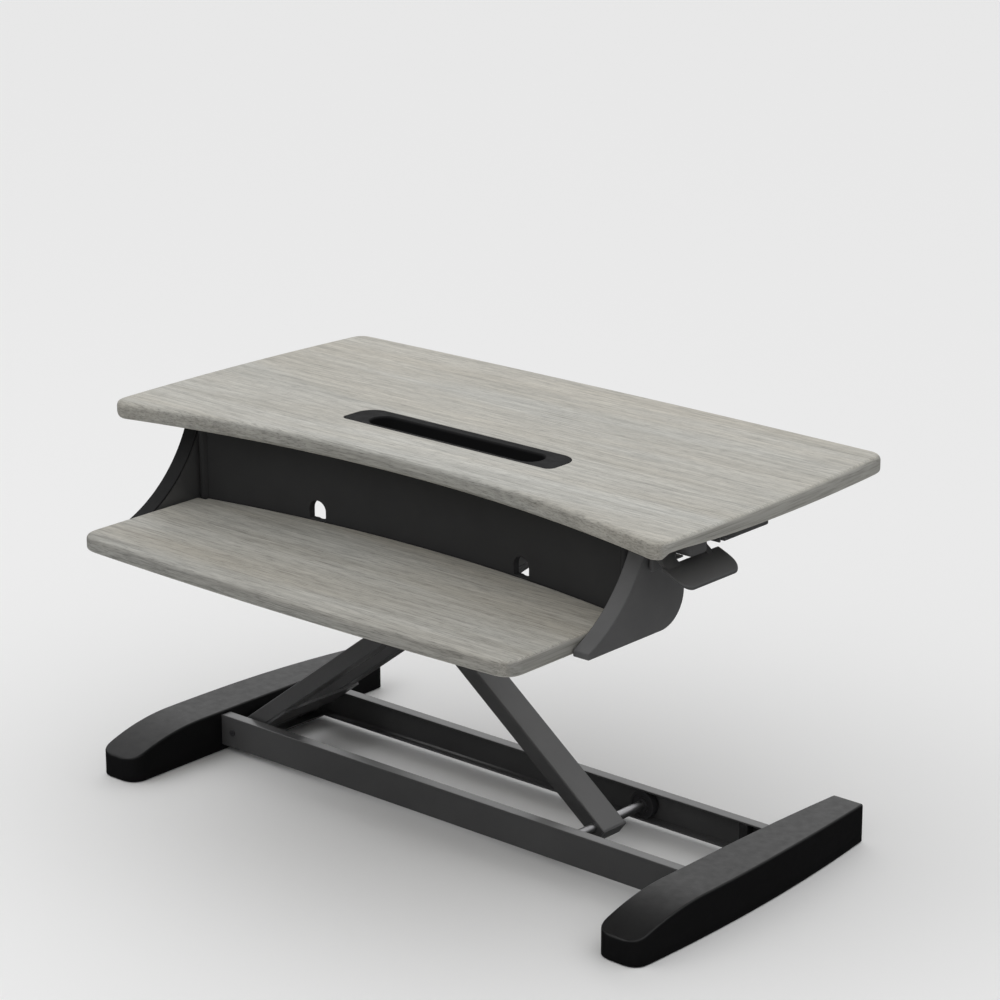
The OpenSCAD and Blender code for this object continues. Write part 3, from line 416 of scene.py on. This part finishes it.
def board(name, outline, z0, z1, r_top, r_bottom, body, slot, node, undercut=0.0, pocket=None,
          pocket_floor=0):
    """A board whose top and bottom edges are rolled, with a pocket in its top if one is given.

    undercut enlarges the lower roll on both sides, most of all near the front.
    """
    along = np.roll(outline, -1, 0) - np.roll(outline, 1, 0)
    sideways = (along[:, 1] / np.linalg.norm(along, axis=1)) ** 2
    forward = np.clip((UNDERCUT_START_Y - outline[:, 1]) / UNDERCUT_LENGTH, 0, 1) * sideways
    setback = 1 + undercut * (1.5 * forward + 3.8 * forward ** 5)
    rise = 1 + undercut * (1.5 * forward + 0.9 * forward ** 5)
    bm = bmesh.new()
    steps = 7
    levels = []
    for i in range(steps + 1):
        a = math.pi / 2 * i / steps
        levels.append((r_bottom * (1 - math.sin(a)) * setback,
                       z0 + r_bottom * (1 - math.cos(a)) * rise))
    for i in range(steps + 1):
        a = math.pi / 2 * i / steps
        levels.append((r_top * (1 - math.cos(a)), z1 - r_top * (1 - math.sin(a))))
    loops = [ring(bm, inset(outline, d), z) for d, z in levels]
    for a, b in zip(loops, loops[1:]):
        skin(bm, a, b)
    bm.faces.new(loops[0])
    if pocket is None:
        bm.faces.new(loops[-1])
    else:
        rim, floor = ring(bm, pocket, z1), ring(bm, pocket, pocket_floor)
        skin(bm, rim, floor)
        bm.faces.new(floor)
        bm.edges.ensure_lookup_table()
        edges = [e for loop in (loops[-1], rim) for e in
                 (bm.edges.get((loop[i], loop[(i + 1) % len(loop)])) for i in range(len(loop)))]
        bmesh.ops.triangle_fill(bm, edges=edges, use_beauty=True, use_dissolve=False)
    return even_shading(new_piece(name, bm, body, slot, node))


# ---------- worksurface, device slot and tray ----------

TOP_Z, UNDER_Z, TRAY_Z, TRAY_UNDER_Z = 492, 470, 372, 352

# Worksurface outline: its sides, front and back are bowed, each given by a place, a half length
# and the bow over it, and its corners are cut by curves
SIDE_X, SIDE_MIDDLE_Y, SIDE_HALF, SIDE_BOW = 443.5, -17, 195, 6.6
FRONT_Y, FRONT_HALF, FRONT_BOW = -95, 400, 48
BACK_Y, BACK_HALF, BACK_BOW = 301, 416, 6.8
FRONT_CORNER_Y, BACK_CORNER_Y, CORNER_CUT = -148, 294.2, 22

PANEL_Y, PANEL_HALF, PANEL_BOW, POST_DEPTH = -56, 333, 31, 5.2
TRAY_HALF, TRAY_FRONT_Y, TRAY_BOW, TRAY_CUT, TRAY_SIDE_Y = 346, -301, 9, 26, -200.0


def side_x(y):
    return SIDE_X - bow(y - SIDE_MIDDLE_Y, SIDE_HALF, SIDE_BOW)


def worksurface_outline():
    def front(x):
        return x, FRONT_Y - bow(x, FRONT_HALF, FRONT_BOW)

    def back(x):
        return x, BACK_Y - bow(x, BACK_HALF, BACK_BOW)

    def side(y):
        return side_x(y), y

    corner_front, corner_back = np.array(side(FRONT_CORNER_Y)), np.array(side(BACK_CORNER_Y))
    cut = CORNER_CUT
    return mirrored(
        spread(front, 0, corner_front[0] - cut, 40)
        + bezier(front(corner_front[0] - cut), corner_front, side(corner_front[1] + cut), 18)
        + spread(side, corner_front[1] + cut, corner_back[1] - cut, 28)[1:]
        + bezier(side(corner_back[1] - cut), corner_back, back(corner_back[0] - cut), 18)
        + spread(back, corner_back[0] - cut, 0, 40)[1:])


def panel_y(x):
    return PANEL_Y - bow(x, PANEL_HALF, PANEL_BOW)


def tray_outline():
    def front(x):
        return x, TRAY_FRONT_Y + bow(x, TRAY_HALF, TRAY_BOW)

    corner = np.array(front(TRAY_HALF))
    post = panel_y(PANEL_HALF) - POST_DEPTH
    return mirrored(
        spread(front, 0, TRAY_HALF - TRAY_CUT, 40)
        + bezier(front(TRAY_HALF - TRAY_CUT), corner, corner + [0, TRAY_CUT], 16)
        + [np.array(p) for p in ((TRAY_HALF, TRAY_SIDE_Y), (TRAY_HALF, post), (PANEL_HALF, post))]
        + [np.array([x, panel_y(x)]) for x in np.linspace(PANEL_HALF, 0, 25)])


def slot_outline(half, y0, y1, r_front, r_back, n=10):
    """A box whose front and back corners have their own radii."""
    return np.array(
        arc((half - r_front, y0 + r_front), r_front, -90, 0, n)
        + arc((half - r_back, y1 - r_back), r_back, 0, 90, n)
        + arc((-half + r_back, y1 - r_back), r_back, 90, 180, n)
        + arc((-half + r_front, y0 + r_front), r_front, 180, 270, n))


# Device slot: the bezel's box and corner radii, the slot's, and the sizes of its section
BEZEL = (169, -17, 40, 10, 26)
SLOT = (135, -10, 25, 17, 17)
BEZEL_THICKNESS, BEZEL_GAP, BEZEL_EDGE = 2, 0.2, 0.9
MOUTH_R, TROUGH_DEPTH, TROUGH_WALL, POCKET_DEPTH = 3.0, 16, 2, 18.5

board("worksurface_board", worksurface_outline(), UNDER_Z, TOP_Z, 7, 5, "platform", "laminate_top",
      "worksurface", 1.0, slot_outline(*BEZEL), TOP_Z - POCKET_DEPTH)
board("keyboard_tray_board", tray_outline(), TRAY_UNDER_Z, TRAY_Z, 6, 5, "platform",
      "laminate_tray", "keyboard_tray")


def device_slot():
    """Flush bezel with a soft mouth, and the trough under it."""
    half, y0, y1, r_front, r_back = BEZEL
    outer = slot_outline(half - BEZEL_GAP, y0 + BEZEL_GAP, y1 - BEZEL_GAP, r_front, r_back)
    inner = slot_outline(*SLOT)
    bm = bmesh.new()
    loops = [ring(bm, outer, TOP_Z - BEZEL_THICKNESS), ring(bm, outer, TOP_Z - BEZEL_EDGE)]
    for i in range(1, 5):
        a = math.pi / 2 * i / 4
        loops.append(ring(bm, inset(outer, BEZEL_EDGE * (1 - math.cos(a))),
                          TOP_Z - BEZEL_EDGE * (1 - math.sin(a))))
    for i in range(7):
        a = math.pi / 2 * i / 6
        loops.append(ring(bm, inset(inner, -MOUTH_R * (1 - math.sin(a))),
                          TOP_Z - MOUTH_R * (1 - math.cos(a))))
    for step, rise in ((0, 2), (0.8, 0.6), (2.2, 0)):
        loops.append(ring(bm, inset(inner, step), TOP_Z - TROUGH_DEPTH + rise))
    for a, b in zip(loops, loops[1:]):
        skin(bm, a, b)
    bm.faces.new(loops[-1])
    shell = inset(inner, -TROUGH_WALL)
    under = [ring(bm, outer, TOP_Z - BEZEL_THICKNESS), ring(bm, shell, TOP_Z - BEZEL_THICKNESS),
             ring(bm, shell, TOP_Z - TROUGH_DEPTH - TROUGH_WALL)]
    for a, b in zip(under, under[1:]):
        skin(bm, a, b)
    bm.faces.new(under[-1])
    bmesh.ops.remove_doubles(bm, verts=bm.verts, dist=MERGE_M)
    even_shading(new_piece("device_slot_bezel", bm, "platform", "bezel_black", "device_slot_insert"))


device_slot()


# ---------- foot covers ----------

FOOT_INNER, FOOT_OUTER, FOOT_BACK, FOOT_NOSE, FOOT_BOTTOM = 380.5, 447, 274, -188, 1.5
BOX_MARGIN = 0.05       # keeps the outer side within the CAD box
OUTER_MIDDLE_Y, OUTER_HALF, OUTER_BOW = -50, 324, 22
CROWN_Z, CROWN_FRONT_Y, CROWN_BACK_Y = 55, -64, 40
NOSE_HALF, NOSE_FALL, TAIL_HALF, TAIL_FALL = 124, 23, 234, 5
FOOT_EDGE_R, FOOT_WALL = 2.6, 2.5


def foot_outer_x(y):
    return FOOT_OUTER - BOX_MARGIN - bow(y - OUTER_MIDDLE_Y, OUTER_HALF, OUTER_BOW)


def foot_top(y):
    if y < CROWN_FRONT_Y:
        return CROWN_Z - bow(CROWN_FRONT_Y - y, NOSE_HALF, NOSE_FALL)
    return CROWN_Z - bow(y - CROWN_BACK_Y, TAIL_HALF, TAIL_FALL) if y > CROWN_BACK_Y else CROWN_Z


def foot_cover(name, side, node):
    """A long low crown that falls in an arc to a rounded nose, lofted along Y."""
    nose, back, edge = FOOT_NOSE, FOOT_BACK, FOOT_EDGE_R
    inner_r, outer_r = 22, 20
    inner_corner = np.array(bezier((FOOT_INNER, nose + inner_r), (FOOT_INNER, nose + 2),
                                   (FOOT_INNER + inner_r, nose), 24))[::-1]
    tip_x = foot_outer_x(nose + 3)
    outer_corner = np.array(bezier((tip_x - outer_r, nose), (tip_x, nose + 1),
                                   (foot_outer_x(nose + outer_r), nose + outer_r), 24))
    # the sections lie close together where the nose and the back edge are rounded
    stations = [nose + d for d in (0, 0.15, 0.5, 1.1, 1.8, 2.6, 4, 6, 8.5, 11.5, 15, 18.5, 22)]
    stations += list(np.linspace(nose + 26, -60, 22)) + list(np.linspace(-50, back - 8, 30))
    stations += [back - d for d in (2.2, 1.3, 0.6, 0.2, 0)]
    bm = bmesh.new()
    rows = []
    for y in stations:
        x0 = np.interp(y, inner_corner[:, 1], inner_corner[:, 0])
        x1 = foot_outer_x(y)
        if y < nose + outer_r:
            x1 = np.interp(y, outer_corner[:, 1], outer_corner[:, 0])
        end = min(y - nose, back - y)
        drop = edge - math.sqrt(edge ** 2 - (edge - end) ** 2) if end < edge else 0.0
        if back - y < edge:
            pull = min(drop, 2.2)
            x0, x1 = x0 + pull, x1 - pull
        top = foot_top(y) - drop
        points = [(x0, z) for z in (FOOT_BOTTOM, 14, 26)]
        points += [tuple(p) for p in arc((x0 + edge, top - edge), edge, 180, 90, 5)]
        points += [(x0 + edge + (x1 - x0 - 2 * edge) * k / 6, top) for k in range(1, 6)]
        points += [tuple(p) for p in arc((x1 - edge, top - edge), edge, 90, 0, 5)]
        points += [(x1, z) for z in (26, 14, FOOT_BOTTOM)]
        rows.append([bm.verts.new((side * x * MM, y * MM, z * MM)) for x, z in points])
    for a, b in zip(rows, rows[1:]):
        skin(bm, a, b, closed=False)
    bm.faces.new(rows[0])
    bm.faces.new(rows[-1])
    obj = new_piece(name, bm, "base", "moulded_black", node)
    wall = obj.modifiers.new("wall", "SOLIDIFY")
    wall.thickness = FOOT_WALL * MM
    wall.offset = -1
    paint(obj, "foot_black")
    return even_shading(obj, 50)


foot_cover("foot_cover_left_shell", -1, "foot_cover_left")
foot_cover("foot_cover_right_shell", 1, "foot_cover_right")


# ---------- the other parts: rounded copies and finished CAD nodes ----------

# Width of the rounding in mm, and the shortest edge that gets it in metres
ROUNDED = {
    "base_rail_front": (0.9, 0.010), "base_rail_back": (0.9, 0.010),
    "top_rail_front": (0.9, 0.010), "top_rail_back": (0.9, 0.010),
    "base_ties": (0.6, 0.002), "top_tie_left": (0.6, 0.010),
    "outer_leg_front": (1.8, 0.100), "outer_leg_back": (1.8, 0.100), "middle_leg": (1.8, 0.100),
    "outer_leg_caps": (0.7, 0.004), "middle_leg_caps": (0.7, 0.004),
    "slide_carriage": (0.6, 0.010), "foot_frame_left": (0.6, 0.004), "foot_frame_right": (0.6, 0.004),
    "tray_cover_left": (1.6, 0.0), "tray_cover_right": (1.6, 0.0),
    "back_panel": (0.9, 0.0), "panel_posts": (0.9, 0.006), "panel_cleats": (0.5, 0.004),
    "spring_anchor_plate": (0.7, 0.0), "lever_housing": (1.8, 0.0), "release_lever": (1.3, 0.0),
    "release_head": (1.0, 0.006),
}
for node, (width, shortest) in ROUNDED.items():
    copy = rounded_copy(node, width * MM, shortest)
    # The left tray cover gets the darker copy of its plastic: painted shade for its inner face, which
    # lies in shadow between tray and worksurface.
    if node == "tray_cover_left":
        paint(copy, "cover_black_painted_shade")
for node, obj in nodes.items():
    paint(obj, SLOT_OF[node])


# ---------- floor, light and camera ----------

FLOOR_HALF = 30


def stage_floor():
    """A wide pale floor, left out of reflections so that glossy sides stay dark."""
    r = FLOOR_HALF
    mesh = bpy.data.meshes.new("studio_floor")
    mesh.from_pydata([(-r, -r, 0), (r, -r, 0), (r, r, 0), (-r, r, 0)], [], [(0, 1, 2, 3)])
    floor = bpy.data.objects.new("studio_floor", mesh)
    bpy.context.scene.collection.objects.link(floor)
    s = Shader("pale_floor", (0.90, 0.90, 0.90), 0.9, specular=0.0)
    mesh.materials.append(s.material)
    floor.visible_glossy = False


def softbox(name, place, target, size, watts):
    """A soft rectangular light, itself out of the picture."""
    light = bpy.data.lights.new(name, "AREA")
    light.shape = "RECTANGLE"
    light.size, light.size_y = size
    light.energy = watts
    obj = bpy.data.objects.new(name, light)
    obj.location = place
    obj.rotation_euler = (Vector(target) - Vector(place)).to_track_quat("-Z", "Y").to_euler()
    obj.visible_camera = False
    bpy.context.scene.collection.objects.link(obj)


def studio():
    """A pale dome, brightest overhead and dark below, a bright panel at the back left, and a key."""
    world = bpy.data.worlds.new("studio")
    world.use_nodes = True
    tree = world.node_tree
    place = tree.nodes.new("ShaderNodeTexCoord").outputs["Generated"]

    def across(vector, start, end, low, high):
        """Brightness from low to high as the direction turns towards vector."""
        dot = tree.nodes.new("ShaderNodeVectorMath")
        dot.operation = "DOT_PRODUCT"
        dot.inputs[1].default_value = vector
        span = tree.nodes.new("ShaderNodeMapRange")
        span.interpolation_type = "SMOOTHSTEP"
        for key, value in (("From Min", start), ("From Max", end), ("To Min", low),
                           ("To Max", high)):
            span.inputs[key].default_value = value
        tree.links.new(place, dot.inputs[0])
        tree.links.new(dot.outputs["Value"], span.inputs["Value"])
        return span.outputs["Result"]

    def combined(operation, a, b):
        n = tree.nodes.new("ShaderNodeMath")
        n.operation = operation
        tree.links.new(a, n.inputs[0])
        tree.links.new(b, n.inputs[1])
        return n.outputs["Value"]

    up = (0, 0, 1)
    overhead = across(up, 0.15, 0.8, 0.20, 1.08)
    panel = across((-0.56, 0.76, 0.33), 0.90, 0.98, 0.0, 0.75)
    above_floor = across(up, -0.15, 0.05, 0.1, 1.0)
    brightness = combined("MULTIPLY", combined("ADD", overhead, panel), above_floor)
    tree.links.new(brightness, tree.nodes["Background"].inputs["Strength"])
    tree.nodes["Background"].inputs["Color"].default_value = (1, 1, 1, 1)
    bpy.context.scene.world = world
    bpy.context.scene.view_settings.view_transform = "Standard"
    softbox("key", (-1.6, -2.0, 2.6), (0, 0, 0.3), (2.0, 2.0), 9)


LENS_MM, SENSOR_MM = 118.12, 36
CAMERA_PLACE = (2.5277, -2.8004, 1.6140)
CAMERA_HEADING, CAMERA_DIP, CAMERA_ROLL = 41.19, 17.62, -0.13


def camera():
    data = bpy.data.cameras.new("camera")
    data.lens = LENS_MM
    data.sensor_width = SENSOR_MM
    data.clip_end = 100
    obj = bpy.data.objects.new("camera", data)
    heading, pitch, roll = (Matrix.Rotation(math.radians(angle), 4, axis) for angle, axis in
                            ((CAMERA_HEADING, "Z"), (90 - CAMERA_DIP, "X"), (CAMERA_ROLL, "Z")))
    obj.matrix_world = Matrix.Translation(CAMERA_PLACE) @ (heading @ pitch @ roll)
    bpy.context.scene.collection.objects.link(obj)
    bpy.context.scene.camera = obj


stage_floor()
studio()
camera()
